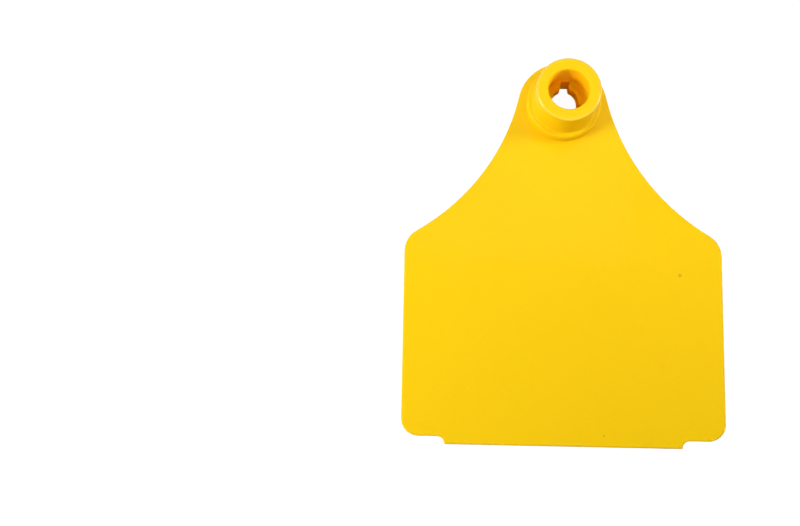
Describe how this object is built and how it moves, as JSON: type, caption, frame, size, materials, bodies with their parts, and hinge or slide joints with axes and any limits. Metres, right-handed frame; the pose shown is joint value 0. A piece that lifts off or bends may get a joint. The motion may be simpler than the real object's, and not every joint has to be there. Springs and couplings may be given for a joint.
{
  "type": "livestock ear tag",
  "caption": "Flat ear tag panel with rounded shoulders, a narrow round neck and a tall tapered collar round a keyed stud hole, moulded in one piece of soft yellow plastic.",
  "frame": {"origin": "middle of the tag's outline, in the plane of the flat front face that lies on the ear", "axes": "+Z along the collar, away from the front face; +Y from the panel towards the neck and collar; +X across the panel"},
  "size_m": [0.095, 0.117, 0.018],
  "materials": {
    "yellow_plastic": "satin, soft polyurethane with bright yellow pigment"
  },
  "bodies": {
    "root": {"tag_body": "yellow_plastic"}
  },
  "joints": []
}
